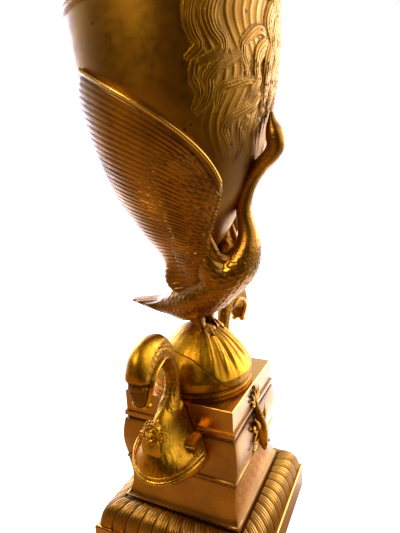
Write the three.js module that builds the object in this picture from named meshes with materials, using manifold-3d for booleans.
// Gilt bronze vase carried between the raised wings of a swan that stands on a mound,
// on a square moulded plinth with a galley prow front and back and a dolphin on each side.
// Millimetres, +Z up, origin under the middle of the foot slab, the swan faces +X.

import * as THREE from "three";
import { mergeVertices } from "three/addons/utils/BufferGeometryUtils.js";
import Module from "manifold-3d";

const wasm = await Module();
wasm.setup();

// Driving dimensions of the plinth, from the floor up
const slabSide = 185;
const slabHeight = 30.5;
const torusFootSide = 180;
const torusNeckSide = 152;
const torusHeight = 27.5;
const leavesPerSide = 11;
const leafDepth = 3.2;
const scotiaFootSide = 133;
const scotiaWaistSide = 119;
const scotiaHeight = 50;
const friezeSide = 124;
const friezeSwell = 2.6;
const friezeHeight = 44;
const neckingSide = 122;
const neckingHeight = 8;
const abacusSide = 120;
const abacusHeight = 23;

// Driving dimensions of the mound
const moundRadius = 56;
const moundRingRadius = 53;
const moundRingHeight = 5.5;
const moundHeight = 62;
const moundWidestAt = 15.5;
const moundFolds = 13;
const foldDepth = 1.8;

// Driving dimensions of the vase
const bodyFootAbove = 110;
const bodyHeight = 380;
const bellyHeight = 286;
const bellyRadius = 100.9;
const bodyFootRadius = 12.6;
const bodyMouthRadius = 46;
const bodyBack = 5.7;
const bodyLean = THREE.MathUtils.degToRad(2);
const bodyWall = 3;
const bandHeight = 244;
const bandWidth = 10;
const bandRaise = 2;
const neckHeight = 90;
const neckWaistRadius = 35;
const lipRadius = 66;
const lipThickness = 6;

// Driving dimensions of the swan, its length being the figure's own measure
const swanLength = 168;
const wingThickness = 4.5;
const wingEdgeThickness = 2.6;
const feathersPerWing = 11;
const featherDepth = 1.5;
const legRadius = 5;

// Driving dimensions of the mounts on the plinth
const prowMeasure = 120;
const prowHalfWidth = 36;
const waleRadius = 2.4;
const dolphinLength = 76;
const dolphinSeat = 2; // its body's line lies this far behind the frieze's flat

// Gap left where one casting sits on or is cut to fit another
const seatGap = 0.3;
const wingClear = 2.5;

// Heights worked out from the dimensions above
const torusFoot = slabHeight;
const dieFoot = torusFoot + torusHeight;
const friezeFoot = dieFoot + scotiaHeight;
const neckingFoot = friezeFoot + friezeHeight;
const abacusFoot = neckingFoot + neckingHeight;
const plinthTop = abacusFoot + abacusHeight;
const bodyFoot = plinthTop + bodyFootAbove;

// Finishes
const burnishedGilding = { color: 0xd79a1c, roughness: 0.24, metalness: 1 };
const mattGilding = { color: 0xb37c1a, roughness: 0.46, metalness: 1 };
const darkGilding = { color: 0x8a5a12, roughness: 0.38, metalness: 1 };

const part = new THREE.Group();

function addPiece(name, geometry, finish) {
  const mesh = new THREE.Mesh(geometry, new THREE.MeshStandardMaterial(finish));
  mesh.name = name;
  part.add(mesh);
  return mesh;
}

// A closed body through a row of closed rings that all have the same number of points. A ring's
// end is closed round its middle, or on a long thin ring by a ladder between its two halves.
function skin(rings, ladder = false) {
  const around = rings[0].length;
  const points = rings.flat();
  const faces = [];
  for (let i = 0; i + 1 < rings.length; i++) {
    for (let j = 0; j < around; j++) {
      const a = i * around + j;
      const b = i * around + ((j + 1) % around);
      faces.push([a, b, b + around], [a, b + around, a + around]);
    }
  }
  const last = (rings.length - 1) * around;
  if (ladder) {
    for (let j = 0; j + 1 < around / 2; j++) {
      const far = around - 1 - j;
      faces.push([j, far, far - 1], [j, far - 1, j + 1]);
      faces.push([last + j, last + far - 1, last + far], [last + j, last + j + 1, last + far - 1]);
    }
  } else {
    const heads = [rings[0], rings[rings.length - 1]].map((ring) => {
      const middle = new THREE.Vector3();
      ring.forEach((p) => middle.addScaledVector(p, 1 / around));
      points.push(middle);
      return points.length - 1;
    });
    for (let j = 0; j < around; j++) {
      const next = (j + 1) % around;
      faces.push([heads[0], next, j], [heads[1], last + j, last + next]);
    }
  }
  const volume = faces.reduce(
    (sum, [a, b, c]) => sum + points[a].dot(points[b].clone().cross(points[c])),
    0,
  );
  const index = faces.map((f) => (volume < 0 ? [f[0], f[2], f[1]] : f)).flat();
  const geometry = new THREE.BufferGeometry().setFromPoints(points);
  geometry.setIndex(index);
  return geometry;
}

// Joining and cutting
function toSolid(geometry) {
  const bare = new THREE.BufferGeometry();
  bare.setAttribute("position", geometry.attributes.position);
  bare.setIndex(geometry.index);
  const merged = mergeVertices(bare, 1e-4);
  const mesh = new wasm.Mesh({
    numProp: 3,
    vertProperties: new Float32Array(merged.attributes.position.array),
    triVerts: new Uint32Array(merged.index.array),
  });
  return new wasm.Manifold(mesh);
}

// Slivers that joining leaves, thinner than this, are merged away
const sliver = 0.05;

function toGeometry(solid) {
  const mesh = solid.simplify(sliver).getMesh();
  const geometry = new THREE.BufferGeometry();
  geometry.setAttribute("position", new THREE.BufferAttribute(mesh.vertProperties, 3));
  geometry.setIndex(new THREE.BufferAttribute(mesh.triVerts, 1));
  return geometry;
}

function join(geometries) {
  return geometries.map(toSolid).reduce((all, next) => all.add(next));
}

// The outer body of a join, which fills any small pocket left between two locks
function filled(solid) {
  return solid.decompose().reduce((kept, next) => (next.volume() > kept.volume() ? next : kept));
}

// Flats round the turned vase
const vaseSides = 26;

// Small maths
const mix = THREE.MathUtils.lerp;
const smooth = THREE.MathUtils.smoothstep;

// Value of a smooth curve through [position, value, value, ...] rows at a share of its length
function along(rows, share) {
  const at = share * (rows.length - 1);
  const k = Math.min(Math.floor(at), rows.length - 2);
  const t = at - k;
  return rows[k].map((_, c) => {
    const p1 = rows[k][c];
    const p2 = rows[k + 1][c];
    const p0 = rows[Math.max(k - 1, 0)][c];
    const p3 = rows[Math.min(k + 2, rows.length - 1)][c];
    const bend = (2 * p0 - 5 * p1 + 4 * p2 - p3) * t * t + (3 * (p1 - p2) + p3 - p0) * t ** 3;
    return p1 + 0.5 * ((p2 - p0) * t + bend);
  });
}

// Value at x of a smooth curve through [x, value] rows
function reading(rows, x) {
  let low = 0;
  while (low < rows.length - 2 && rows[low + 1][0] < x) low++;
  const span = rows[low + 1][0] - rows[low][0];
  const t = THREE.MathUtils.clamp((x - rows[low][0]) / span, 0, 1);
  const slope = (k) => {
    const a = rows[Math.max(k - 1, 0)];
    const b = rows[Math.min(k + 1, rows.length - 1)];
    return (b[1] - a[1]) / (b[0] - a[0]);
  };
  const m0 = slope(low) * span;
  const m1 = slope(low + 1) * span;
  const v0 = rows[low][1];
  const v1 = rows[low + 1][1];
  const rise = (3 * (v1 - v0) - 2 * m0 - m1) * t * t + (m0 + m1 - 2 * (v1 - v0)) * t ** 3;
  return v0 + m0 * t + rise;
}

// A tapering limb in the plane y = 0: rows of [x, z, half depth in the plane, half width]
function limb(rows, stations, sides) {
  const middle = (share) => along(rows, share);
  const rings = [];
  for (let i = 0; i <= stations; i++) {
    const share = i / stations;
    const [x, z, depth, width] = middle(share);
    const before = middle(Math.max(share - 0.01, 0));
    const after = middle(Math.min(share + 0.01, 1));
    const run = Math.hypot(after[0] - before[0], after[1] - before[1]);
    const nx = -(after[1] - before[1]) / run;
    const nz = (after[0] - before[0]) / run;
    const ring = [];
    for (let j = 0; j < sides; j++) {
      const turn = (2 * Math.PI * (j + 0.5)) / sides;
      const out = Math.cos(turn) * depth;
      ring.push(new THREE.Vector3(x + nx * out, Math.sin(turn) * width, z + nz * out));
    }
    rings.push(ring);
  }
  return skin(rings);
}

// Square mouldings: rings of a square plan at the half widths and heights of a profile
function squareRing(half, z, perSide = 1, outline = () => 0) {
  const ring = [];
  for (let side = 0; side < 4; side++) {
    for (let k = 0; k < perSide; k++) {
      const run = -half + (2 * half * k) / perSide;
      const out = half + (k ? outline(k) : 0);
      const p = new THREE.Vector3(out, run, z);
      ring.push(p.applyAxisAngle(new THREE.Vector3(0, 0, 1), (side * Math.PI) / 2));
    }
  }
  return ring;
}

function squareMoulding(profile) {
  return skin(profile.map(([half, z]) => squareRing(half, z)));
}

// The swelling frieze, the scotia below it and the necking above, in one outline
function dieProfile(gap = 0) {
  const rows = [[scotiaFootSide / 2, dieFoot]];
  const scotiaSteps = 6;
  for (let k = 0; k <= scotiaSteps; k++) {
    const t = k / scotiaSteps;
    const side = mix(scotiaFootSide - 3, friezeSide, t);
    const hollow = Math.sin(Math.PI * t ** 0.75) * ((scotiaFootSide - 3 + friezeSide) / 2 - scotiaWaistSide);
    rows.push([(side - hollow) / 2, dieFoot + 2 + t * (scotiaHeight - 6)]);
  }
  rows.push([friezeSide / 2 + 1, friezeFoot - 3], [friezeSide / 2 + 1, friezeFoot]);
  const friezeSteps = 6;
  for (let k = 0; k <= friezeSteps; k++) {
    const t = k / friezeSteps;
    const swell = friezeSwell * Math.sin(Math.PI * t);
    rows.push([friezeSide / 2 + swell, friezeFoot + 0.5 + t * (friezeHeight - 1)]);
  }
  rows.push([neckingSide / 2 - 1, neckingFoot], [neckingSide / 2 - 1, neckingFoot + 2.5]);
  rows.push([neckingSide / 2 + 1, neckingFoot + 3], [neckingSide / 2 + 1, abacusFoot]);
  return rows.map(([half, z]) => [half + gap, z]);
}

// The plinth grown by a gap all round, to cut the mounts that lie against it
function plinthWithGap() {
  const g = seatGap;
  const torusHalf = torusFootSide / 2 + g;
  return skin(
    [
      [slabSide / 2 + g, -g],
      [slabSide / 2 + g, slabHeight + g],
      [torusHalf, slabHeight + 2 * g],
      [torusHalf, dieFoot + g],
      ...dieProfile(g).slice(1),
      [abacusSide / 2 + 1 + g, abacusFoot + g],
      [abacusSide / 2 + g, abacusFoot + 2 * g],
      [abacusSide / 2 + g, plinthTop + g],
    ].map(([half, z]) => squareRing(half, z)),
  );
}

function footSlab() {
  const ease = 1;
  return squareMoulding([
    [slabSide / 2 - ease, 0],
    [slabSide / 2, ease],
    [slabSide / 2, slabHeight - ease],
    [slabSide / 2 - ease, slabHeight],
  ]);
}

// Leaves run across the torus, a ridge along each leaf and a groove between two
function leafTorus() {
  const rows = 5;
  const rings = [];
  for (let i = 0; i < rows; i++) {
    const t = i / (rows - 1);
    const bulge = Math.cos((t * Math.PI) / 2) ** 0.55;
    const half = mix(torusNeckSide, torusFootSide, bulge) / 2;
    const groove = leafDepth * Math.sin(Math.PI * mix(0.12, 0.95, t)) ** 0.7;
    const z = torusFoot + t * torusHeight;
    rings.push(squareRing(half, z, 2 * leavesPerSide, (k) => (k % 2 ? -groove : 0)));
  }
  return skin(rings);
}

function abacus() {
  const ease = 0.8;
  const half = abacusSide / 2;
  return squareMoulding([
    [half, abacusFoot],
    [half, plinthTop - ease],
    [half - ease, plinthTop],
  ]);
}

// The mound, widest a little above its base ring, with folds of cloth that run down from the top
function moundRadiusAt(height) {
  const undercut = 6.4;
  const rise = (height - moundWidestAt) / (moundHeight - moundWidestAt);
  if (rise > 0) return moundRadius * Math.sqrt(Math.max(1 - rise ** 1.07, 0));
  return moundRadius - undercut * rise * rise;
}

function mound(gap = 0) {
  const sides = 2 * moundFolds;
  const ringAt = (radius, height, fold) =>
    Array.from({ length: sides }, (_, j) => {
      const turn = (2 * Math.PI * j) / sides;
      const r = radius + gap + (j % 2 ? -fold : fold);
      return new THREE.Vector3(r * Math.cos(turn), r * Math.sin(turn), plinthTop + height);
    });
  const rings = [
    ringAt(moundRingRadius + 2, 0, 0),
    ringAt(moundRingRadius + 2, moundRingHeight - 2, 0),
    ringAt(moundRingRadius, moundRingHeight, 0),
  ];
  const levels = 6;
  for (let k = 0; k <= levels; k++) {
    const height = mix(moundRingHeight + 2, moundHeight - 1.5, (k / levels) ** 0.8);
    const strength = smooth(height, moundRingHeight + 8, moundHeight * 0.7);
    rings.push(ringAt(moundRadiusAt(height), height + gap, foldDepth * strength * 0.6));
  }
  return skin(rings);
}

// Vase body outline: shares of the rise to the belly and of the swell from foot to belly
const bodyOutline = [
  [0, 0],
  [0.075, 0.1],
  [0.18, 0.35],
  [0.327, 0.607],
  [0.495, 0.816],
  [0.705, 0.942],
  [1, 1],
];

function bodyRadiusAt(height, inset = 0) {
  if (height <= bellyHeight) {
    const share = reading(bodyOutline, Math.max(height, 0) / bellyHeight);
    return mix(bodyFootRadius, bellyRadius, share) - inset;
  }
  const t = Math.min((height - bellyHeight) / (bodyHeight - inset - bellyHeight), 1);
  const mouth = bodyMouthRadius - inset;
  return mix(mouth, bellyRadius - inset, Math.sqrt(Math.max(1 - t ** 2.2, 0)));
}

// A point of the vase, whose axis stands behind the plinth's and leans back a little
function onVase(turn, radius, height) {
  const p = new THREE.Vector3(radius * Math.cos(turn), radius * Math.sin(turn), height);
  p.applyAxisAngle(new THREE.Vector3(0, 1, 0), -bodyLean);
  return p.add(new THREE.Vector3(-bodyBack, 0, bodyFoot));
}

function turned(profile, sides) {
  return skin(
    profile.map(([radius, height]) =>
      Array.from({ length: sides }, (_, j) => onVase((2 * Math.PI * j) / sides, radius, height)),
    ),
  );
}

const bodyLevels = [0, 10, 26, 48, 76, 112, 154, 198];
const shoulderLevels = [0.33, 0.62, 0.82, 0.95, 1];

function bodyProfile() {
  const outer = bodyLevels.map((h) => [bodyRadiusAt(h), h]);
  const bandTop = bandHeight + bandWidth;
  const lift = bandRaise;
  outer.push([bodyRadiusAt(bandHeight), bandHeight]);
  outer.push([bodyRadiusAt(bandHeight) + lift, bandHeight + lift]);
  outer.push([bodyRadiusAt(bandTop) + lift, bandTop - lift]);
  outer.push([bodyRadiusAt(bandTop), bandTop], [bellyRadius, bellyHeight]);
  for (const share of shoulderLevels) {
    const height = mix(bellyHeight, bodyHeight, share);
    outer.push([bodyRadiusAt(height), height]);
  }
  const inner = [[bodyMouthRadius - bodyWall, bodyHeight]];
  for (const share of [...shoulderLevels].reverse()) {
    const height = mix(bellyHeight, bodyHeight - bodyWall, share);
    inner.push([bodyRadiusAt(height, bodyWall), height]);
  }
  const hollowFoot = 2 * bodyWall;
  const steps = 5;
  for (let k = 0; k < steps; k++) {
    const height = mix(bellyHeight, hollowFoot, k / (steps - 1));
    inner.push([Math.max(bodyRadiusAt(height, bodyWall), bodyWall), height]);
  }
  return [...outer, ...inner];
}

// A raised lock of beard or hair: rows of [turn in degrees, height, half width, height of relief]
function lock(rows) {
  const stations = 6;
  const rings = [];
  for (let i = 0; i <= stations; i++) {
    const share = i / stations;
    const [turn, height, width, raise] = along(rows, share);
    const back = along(rows, Math.max(share - 0.02, 0));
    const fore = along(rows, Math.min(share + 0.02, 1));
    const at = (deg, h, out) => onVase(THREE.MathUtils.degToRad(deg), bodyRadiusAt(h) + out, h);
    const middle = at(turn, height, 0);
    const run = at(fore[0], fore[1], 0).sub(at(back[0], back[1], 0)).normalize();
    const normal = at(turn, height, 1).sub(middle).normalize();
    const side = run.clone().cross(normal).normalize();
    const ring = [];
    const sides = 4;
    for (let j = 0; j < sides; j++) {
      const angle = (2 * Math.PI * j) / sides;
      const up = Math.sin(angle) > 0.1 ? raise : -0.35 * bodyWall * (1 - Math.sin(angle));
      ring.push(middle.clone().addScaledVector(side, width * Math.cos(angle)).addScaledVector(normal, up));
    }
    rings.push(ring);
  }
  return skin(rings);
}

// Locks of the mask's beard: the middle ones hang, the side ones swing out in S curves
const middleLocks = [
  [[3, 264, 11, 9], [4, 228, 11, 9], [0, 198, 9, 8], [2, 172, 6, 6], [0, 150, 2, 2]],
  [[-7, 264, 9, 7], [-11, 236, 9, 7], [-6, 210, 8, 6], [-10, 188, 6, 4], [-7, 168, 2, 2]],
];
const sideLocks = [
  [[-17, 272, 9, 6], [-30, 252, 9, 5], [-41, 226, 9, 4], [-35, 206, 8, 4], [-36, 192, 6, 3], [-46, 184, 2, 1]],
  [[-11, 258, 7, 6], [-15, 238, 6, 6], [-12, 222, 5, 5], [-19, 210, 5, 5], [-24, 196, 5, 3], [-20, 174, 2, 1]],
  [[-16, 236, 8, 4], [-28, 212, 8, 4], [-26, 192, 7, 4], [-31, 176, 6, 3], [-40, 160, 2, 1]],
  [[-10, 200, 8, 4], [-16, 180, 8, 4], [-11, 162, 7, 4], [-18, 144, 5, 3], [-14, 122, 2, 1]],
  [[-12, 322, 9, 6], [-28, 314, 9, 6], [-40, 290, 9, 6], [-46, 258, 8, 4], [-54, 232, 7, 3], [-50, 200, 2, 1]],
];

// The mask's face, an oval dome with brow, nose, cheeks and lips in even proportions
const faceHeight = 58;
const faceHalfWidth = 24;
const faceMiddle = 292;

function faceRelief(u, v) {
  const oval = Math.max(1 - u * u - (v < 0 ? 0.8 : 0.9) * v * v, 0) ** 0.5;
  const bump = (x, y, wide, tall) => Math.exp(-(((u - x) / wide) ** 2) - ((v - y) / tall) ** 2);
  const pair = (x, y, wide, tall) => bump(x, y, wide, tall) + bump(-x, y, wide, tall);
  const nose = bump(0, -0.12, 0.13, 0.16) * 6 + bump(0, 0.12, 0.1, 0.24) * 4 + pair(0.14, -0.2, 0.1, 0.08) * 2;
  const brows = pair(0.32, 0.36, 0.26, 0.08) * 2.2 - pair(0.34, 0.2, 0.2, 0.1) * 3;
  const eyes = pair(0.34, 0.2, 0.13, 0.06) * 2;
  const cheeks = pair(0.42, -0.1, 0.2, 0.2) * 1.6;
  const mouth = bump(0, -0.42, 0.26, 0.05) * 1.6 + bump(0, -0.54, 0.2, 0.06) * 1.8 - bump(0, -0.48, 0.28, 0.03) * 2;
  return 13 * oval + (nose + brows + eyes + cheeks + mouth) * oval;
}

function face() {
  const rows = 11;
  const columns = 9;
  const rings = [];
  for (let i = 0; i < rows; i++) {
    const v = mix(-0.97, 0.97, i / (rows - 1));
    const half = Math.sqrt(1 - v * v);
    const height = faceMiddle + (v * faceHeight) / 2;
    const ring = [];
    for (let j = 0; j < columns; j++) {
      const u = mix(-0.98, 0.98, j / (columns - 1)) * half;
      const turn = (u * faceHalfWidth) / bodyRadiusAt(height);
      ring.push(onVase(turn, bodyRadiusAt(height) - 1 + faceRelief(u, v), height));
    }
    for (const share of [1, -1]) {
      const turn = (share * half * faceHalfWidth) / bodyRadiusAt(height);
      ring.push(onVase(turn, bodyRadiusAt(height) - 0.5 * bodyWall, height));
    }
    rings.push(ring);
  }
  return skin(rings);
}

function vaseBody() {
  const mirrored = sideLocks.map((rows) => rows.map(([turn, ...rest]) => [-turn, ...rest]));
  const locks = [...middleLocks, ...sideLocks, ...mirrored].map((rows) => lock(rows));
  const relief = join([...locks, face()]);
  return toGeometry(filled(toSolid(turned(bodyProfile(), vaseSides)).add(relief)));
}

// Neck of the vase: a bead, a waist and a flared open lip
function neckOutline(share) {
  const rise = reading(
    [
      [0, 0],
      [0.35, 0.02],
      [0.7, 0.28],
      [1, 1],
    ],
    share,
  );
  return mix(neckWaistRadius, lipRadius, rise);
}

function vaseNeck() {
  const foot = bodyHeight + seatGap;
  const collar = bodyMouthRadius;
  const outer = [
    [collar, foot],
    [collar + 2, foot + 3],
    [collar, foot + 6],
    [neckWaistRadius + 3, foot + 8],
  ];
  const steps = 4;
  for (let k = 0; k <= steps; k++) {
    const share = k / steps;
    outer.push([neckOutline(share), foot + 12 + share * (neckHeight - 12 - lipThickness)]);
  }
  outer.push([lipRadius + 1.5, foot + neckHeight - lipThickness / 2]);
  outer.push([lipRadius, foot + neckHeight]);
  const inner = [[lipRadius - lipThickness, foot + neckHeight]];
  for (let k = steps; k >= 0; k--) {
    const share = k / steps;
    inner.push([neckOutline(share) - bodyWall - 1, foot + 10 + share * (neckHeight - 16)]);
  }
  inner.push([neckWaistRadius - bodyWall - 1, foot]);
  const sides = 20;
  const loop = [...outer, ...inner];
  const rings = Array.from({ length: sides }, (_, j) =>
    loop.map(([radius, height]) => onVase((2 * Math.PI * j) / sides, radius, height)),
  );
  return closedRound(rings);
}

// A hollow turned piece: sections all round that join back to the first
function closedRound(sections) {
  const count = sections.length;
  const around = sections[0].length;
  const index = [];
  for (let i = 0; i < count; i++) {
    for (let j = 0; j < around; j++) {
      const a = i * around + j;
      const b = i * around + ((j + 1) % around);
      const c = ((i + 1) % count) * around + ((j + 1) % around);
      const d = ((i + 1) % count) * around + j;
      index.push(a, d, c, a, c, b);
    }
  }
  return new THREE.BufferGeometry().setFromPoints(sections.flat()).setIndex(index);
}

// The swan's body, neck and head in one limb: [x, z, half depth, half width] as shares of its length,
// measured from the middle of the plinth top
const swanSpine = [
  [-0.485, 0.475, 0.008, 0.035],
  [-0.39, 0.476, 0.02, 0.075],
  [-0.262, 0.47, 0.05, 0.105],
  [-0.18, 0.483, 0.085, 0.125],
  [-0.095, 0.503, 0.13, 0.155],
  [0.0, 0.535, 0.134, 0.185],
  [0.095, 0.585, 0.131, 0.195],
  [0.19, 0.66, 0.122, 0.185],
  [0.285, 0.755, 0.112, 0.155],
  [0.335, 0.85, 0.08, 0.108],
  [0.342, 0.93, 0.062, 0.072],
  [0.33, 1.0, 0.051, 0.055],
  [0.32, 1.075, 0.045, 0.047],
  [0.328, 1.155, 0.043, 0.044],
  [0.362, 1.24, 0.043, 0.043],
  [0.42, 1.32, 0.044, 0.043],
  [0.482, 1.38, 0.046, 0.045],
  [0.508, 1.43, 0.05, 0.05],
  [0.502, 1.485, 0.05, 0.053],
  [0.492, 1.528, 0.036, 0.042],
  [0.489, 1.556, 0.022, 0.03],
  [0.485, 1.6, 0.009, 0.014],
];

function swanFigure() {
  const rows = swanSpine.map(([x, z, depth, width]) => [
    x * swanLength,
    plinthTop + z * swanLength,
    depth * swanLength,
    width * swanLength,
  ]);
  return limb(rows, 26, 10);
}

// A tube through space: rows of [x, y, z, radius]
function tube(rows, stations, sides) {
  const rings = [];
  for (let i = 0; i <= stations; i++) {
    const share = i / stations;
    const [x, y, z, radius] = along(rows, share);
    const back = along(rows, Math.max(share - 0.01, 0));
    const fore = along(rows, Math.min(share + 0.01, 1));
    const run = new THREE.Vector3(fore[0] - back[0], fore[1] - back[1], fore[2] - back[2]).normalize();
    const side = run.clone().cross(new THREE.Vector3(1, 0, 0)).normalize();
    const up = side.clone().cross(run);
    const ring = [];
    for (let j = 0; j < sides; j++) {
      const turn = (2 * Math.PI * j) / sides;
      const p = new THREE.Vector3(x, y, z);
      p.addScaledVector(side, radius * Math.cos(turn)).addScaledVector(up, radius * Math.sin(turn));
      ring.push(p);
    }
    rings.push(ring);
  }
  return skin(rings);
}

// The upper arm, from the side of the breast up to the front of the wing
const shoulderRows = [
  [0.2, 0.03, 0.72, 0.12],
  [0.18, 0.1, 0.78, 0.115],
  [0.165, 0.15, 0.84, 0.09],
  [0.165, 0.18, 0.9, 0.062],
  [0.18, 0.198, 0.965, 0.03],
];

function shoulder(side) {
  const rows = shoulderRows.map(([x, y, z, radius]) => [
    x * swanLength,
    side * y * swanLength,
    plinthTop + z * swanLength,
    radius * swanLength,
  ]);
  return tube(rows, 5, 8);
}

// One leg with its webbed foot spread on the mound
function swanLeg(side) {
  const length = swanLength;
  const rows = [
    [0.03, 0.5, 0.06],
    [0.035, 0.43, 0.035],
    [0.055, 0.385, legRadius / length],
    [0.065, 0.35, 0.9 * (legRadius / length)],
  ];
  const sides = 8;
  const rings = rows.map(([x, z, radius]) =>
    Array.from({ length: sides }, (_, j) => {
      const turn = (2 * Math.PI * j) / sides;
      return new THREE.Vector3(
        (x + radius * Math.cos(turn)) * length,
        (side * 0.07 + radius * Math.sin(turn)) * length,
        plinthTop + z * length,
      );
    }),
  );
  return skin(rings);
}

function swanFoot(side) {
  const reach = [0.075, 0.05, 0.075, 0.05, 0.075, 0.03, 0.028, 0.028, 0.028, 0.028, 0.028, 0.03];
  const sides = reach.length;
  const ringAt = (grow, lift) =>
    Array.from({ length: sides }, (_, j) => {
      const turn = (2 * Math.PI * (j - 2)) / sides;
      const r = reach[j] * swanLength * grow;
      const x = 0.055 * swanLength + r * Math.cos(turn);
      const y = side * 0.07 * swanLength + r * Math.sin(turn);
      const under = moundHeight * (1 - (x * x + y * y) / (moundRadius * moundRadius));
      return new THREE.Vector3(x, y, plinthTop + under + lift);
    });
  return skin([ringAt(1, -4), ringAt(1, 0.6), ringAt(0.6, 2.4)]);
}

// Wings: feathers fan out from the arm to the tips, [turn in degrees, height] on the vase's side
const wingRoots = [
  [-46, -4],
  [-42, 22],
  [-41, 45],
  [-37, 68],
  [-35, 90],
];
const wingTips = [
  [-112, -10],
  [-140, 4],
  [-142, 24],
  [-140, 52],
  [-148, 84],
  [-152, 116],
  [-148, 146],
  [-136, 174],
  [-117, 200],
];
const wingBends = [
  [-80, -12],
  [-92, 10],
  [-96, 30],
  [-92, 50],
  [-92, 72],
  [-92, 92],
  [-86, 112],
  [-72, 130],
  [-52, 137],
];

function wingPlace(across, out) {
  const root = along(wingRoots, across);
  const bend = along(wingBends, across);
  const tip = along(wingTips, across);
  return [0, 1].map((c) => {
    const a = (1 - out) * (1 - out) * root[c];
    return a + 2 * out * (1 - out) * bend[c] + out * out * tip[c];
  });
}

// The wing lies on the vase, and below its foot it keeps to the width of the swan's back
function wingRadius(height) {
  const back = 0.1 * swanLength;
  const vase = bodyRadiusAt(height);
  return (vase ** 4 + back ** 4) ** 0.25;
}

function wing(side) {
  const columns = 2 * feathersPerWing;
  const outSteps = 7;
  const rings = [];
  for (let i = 0; i <= columns; i++) {
    const across = i / columns;
    const ridge = i % 2 ? 1 : -1;
    const reach = i === columns ? 1 : 0.985 + 0.025 * ridge;
    const ring = [];
    const point = (out, lift) => {
      const [turn, height] = wingPlace(across, out);
      const radius = wingRadius(height) + lift;
      return onVase(side * THREE.MathUtils.degToRad(-turn), radius, height);
    };
    for (let k = 0; k <= outSteps; k++) {
      const out = (k / outSteps) * reach;
      const thick = mix(wingThickness, wingEdgeThickness, out ** 1.5);
      const arm = 2.6 * Math.exp(-(((across - 1) / 0.05) ** 2));
      const carve = featherDepth * ridge * smooth(out, 0.15, 0.6) * 0.5;
      ring.push(point(out, wingClear + thick + arm + carve));
    }
    for (let k = outSteps; k >= 0; k--) ring.push(point((k / outSteps) * reach, wingClear));
    rings.push(ring);
  }
  return skin(rings, true);
}

// The vase grown by the gap, to cut the wings, the back and the neck that touch it
function vaseWithGap() {
  const levels = [...bodyLevels, bandHeight, bellyHeight];
  const profile = levels.map((h) => [bodyRadiusAt(h) + seatGap, h]);
  return turned([[bodyFootRadius + seatGap, -seatGap], ...profile], vaseSides);
}

function swan() {
  const standing = join([swanLeg(1), swanLeg(-1), swanFoot(1), swanFoot(-1)]).subtract(toSolid(mound(seatGap)));
  const figure = join([swanFigure(), shoulder(1), shoulder(-1)]).subtract(toSolid(vaseWithGap()));
  return toGeometry(figure.add(standing).add(join([wing(1), wing(-1)])));
}

// Prow mount, modelled on the -Y face. Neck: [outwards, up from the plinth top, half depth, half width],
// hull: [up, how far its front stands out, width], all as shares of the prow's own measure
const prowNeck = [
  [0.62, -0.14, 0.13, 0.11],
  [0.62, -0.02, 0.11, 0.09],
  [0.56, 0.09, 0.075, 0.062],
  [0.535, 0.2, 0.066, 0.058],
  [0.55, 0.32, 0.07, 0.06],
  [0.62, 0.45, 0.09, 0.068],
  [0.75, 0.54, 0.125, 0.08],
  [0.89, 0.525, 0.145, 0.09],
  [0.965, 0.46, 0.115, 0.092],
  [0.995, 0.38, 0.075, 0.085],
  [0.995, 0.29, 0.058, 0.066],
  [0.985, 0.215, 0.035, 0.038],
];
const prowHull = [
  [-0.68, 0.52, 0.08],
  [-0.61, 0.6, 0.34],
  [-0.54, 0.75, 0.68],
  [-0.49, 0.89, 0.9],
  [-0.45, 0.95, 0.98],
  [-0.38, 0.965, 0.95],
  [-0.3, 0.955, 0.78],
  [-0.22, 0.93, 0.56],
  [-0.12, 0.88, 0.4],
  [0, 0.8, 0.3],
];

function prowHullBody(unit, half) {
  const columns = 8;
  const innermost = scotiaWaistSide / 2 - 2;
  const rings = prowHull.map(([z, front, width]) => {
    const ring = [];
    for (let j = 0; j <= columns; j++) {
      const turn = mix(-Math.PI / 2, Math.PI / 2, j / columns);
      const across = width * half * Math.sin(turn);
      const out = innermost + (front * unit - innermost) * Math.cos(turn) ** 0.9;
      ring.push(new THREE.Vector3(across, -out, plinthTop + z * unit));
    }
    return ring;
  });
  return skin(rings);
}

// The wale runs round the hull and rises towards the plinth
function prowWale(unit, half) {
  const stations = 8;
  const sides = 4;
  const rings = [];
  for (let i = 0; i <= stations; i++) {
    const turn = mix(-1.45, 1.45, i / stations);
    const out = scotiaWaistSide / 2 + (0.96 * unit - scotiaWaistSide / 2) * Math.cos(turn) ** 0.9;
    const across = half * Math.sin(turn);
    const z = plinthTop + unit * (-0.43 + 0.07 * Math.abs(Math.sin(turn)) ** 3);
    const ring = [];
    for (let j = 0; j < sides; j++) {
      const angle = (2 * Math.PI * j) / sides;
      const grow = 1 + (waleRadius * Math.cos(angle)) / half;
      ring.push(new THREE.Vector3(across * grow, -out * grow, z + 1.4 * waleRadius * Math.sin(angle)));
    }
    rings.push(ring);
  }
  return skin(rings);
}

// A small mask with curled hair where the neck leaves the hull
function prowMask(unit) {
  const ball = (across, out, up, radius, detail) => {
    const shape = new THREE.IcosahedronGeometry(radius * unit, detail);
    shape.deleteAttribute("normal");
    shape.deleteAttribute("uv");
    shape.translate(across * unit, -out * unit, plinthTop + up * unit);
    return mergeVertices(shape, 1e-3);
  };
  const curls = 3;
  const hair = Array.from({ length: curls }, (_, k) => {
    const turn = mix(-1.1, 1.1, k / (curls - 1));
    return ball(0.07 * Math.sin(turn), 0.82, -0.03 + 0.07 * Math.cos(turn), 0.045, 0);
  });
  return [ball(0, 0.84, -0.07, 0.08, 1), ball(0, 0.915, -0.08, 0.022, 0), ...hair];
}

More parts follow.
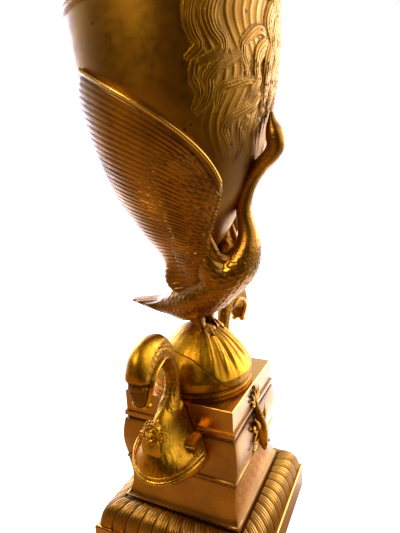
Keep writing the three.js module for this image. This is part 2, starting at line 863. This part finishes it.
function deckBlock(unit) {
  const box = (half, out, low, high) => {
    const inner = scotiaWaistSide / 2;
    const ring = (z) => [
      new THREE.Vector3(-half, -inner, z),
      new THREE.Vector3(half, -inner, z),
      new THREE.Vector3(half, -out, z),
      new THREE.Vector3(-half, -out, z),
    ];
    return skin([ring(plinthTop + low * unit), ring(plinthTop + high * unit)]);
  };
  return [
    box(0.28 * unit, 0.68 * unit, -0.42, -0.25),
    box(0.3 * unit, 0.7 * unit, -0.27, -0.2),
  ];
}

function prow(side) {
  const unit = prowMeasure;
  const half = prowHalfWidth;
  const neckRows = prowNeck.map(([out, up, depth, width]) => [
    out * unit,
    plinthTop + up * unit,
    depth * unit,
    width * unit,
  ]);
  const neck = limb(neckRows, 11, 8).rotateZ(-Math.PI / 2);
  const pieces = [neck, prowHullBody(unit, half), prowWale(unit, half), ...prowMask(unit), ...deckBlock(unit)];
  const turnedPieces = pieces.map((piece) => piece.rotateZ(side < 0 ? 0 : Math.PI));
  return toGeometry(join(turnedPieces).subtract(toSolid(plinthWithGap())));
}

// Dolphin mount on the +X face: head down, tail up, reeds to both sides
const dolphinSpine = [
  [0.08, -1.02, 0.02, 0.03],
  [0.12, -0.9, 0.1, 0.1],
  [0.13, -0.78, 0.11, 0.12],
  [0.12, -0.62, 0.1, 0.11],
  [0.07, -0.44, 0.07, 0.075],
  [0.03, -0.28, 0.035, 0.04],
  [0.02, -0.18, 0.02, 0.05],
  [0.015, -0.08, 0.018, 0.1],
  [0.01, -0.03, 0.014, 0.03],
];

function dolphin(side) {
  const length = dolphinLength;
  // The body lies on the frieze and the tail on the abacus
  const bodyFace = friezeSide / 2 - dolphinSeat;
  const tailFace = abacusSide / 2;
  const rows = dolphinSpine.map(([out, up, depth, width]) => [
    mix(bodyFace, tailFace, smooth(up, -0.44, -0.18)) + out * length,
    plinthTop + up * length,
    depth * length,
    width * length,
  ]);
  const reeds = [];
  const reedsPerSide = 2;
  for (const hand of [-1, 1]) {
    for (let k = 0; k < reedsPerSide; k++) {
      const lift = mix(-0.12, 0.18, k / (reedsPerSide - 1));
      const rings = [0, 0.35, 0.7, 1].map((t) => {
        const y = hand * length * mix(0.05, 0.32 - 0.04 * k, t);
        const z = plinthTop + length * (-0.7 + lift * t + 0.06 * Math.sin(3 * t));
        const wide = length * 0.028 * (1 - 0.85 * t * t);
        const out = friezeSide / 2 + friezeSwell;
        return [
          new THREE.Vector3(out - 3, y, z - wide),
          new THREE.Vector3(out + 3, y, z - wide),
          new THREE.Vector3(out + 4, y, z + wide),
          new THREE.Vector3(out - 3, y, z + wide),
        ];
      });
      reeds.push(skin(rings));
    }
  }
  const pieces = [limb(rows, 12, 8), ...reeds].map((piece) => piece.rotateZ(side > 0 ? 0 : Math.PI));
  return toGeometry(join(pieces).subtract(toSolid(plinthWithGap())));
}

addPiece("foot_slab", footSlab(), darkGilding);
addPiece("leaf_torus", leafTorus(), mattGilding);
addPiece("plinth_die", squareMoulding(dieProfile()), darkGilding);
addPiece("plinth_abacus", abacus(), darkGilding);
addPiece("mound", mound(), burnishedGilding);
addPiece("swan", swan(), darkGilding);
addPiece("prow_front", prow(-1), burnishedGilding);
addPiece("prow_back", prow(1), burnishedGilding);
addPiece("dolphin_right", dolphin(1), burnishedGilding);
addPiece("dolphin_left", dolphin(-1), burnishedGilding);
addPiece("vase_body", vaseBody(), mattGilding);
addPiece("vase_neck", vaseNeck(), mattGilding);

export default part;
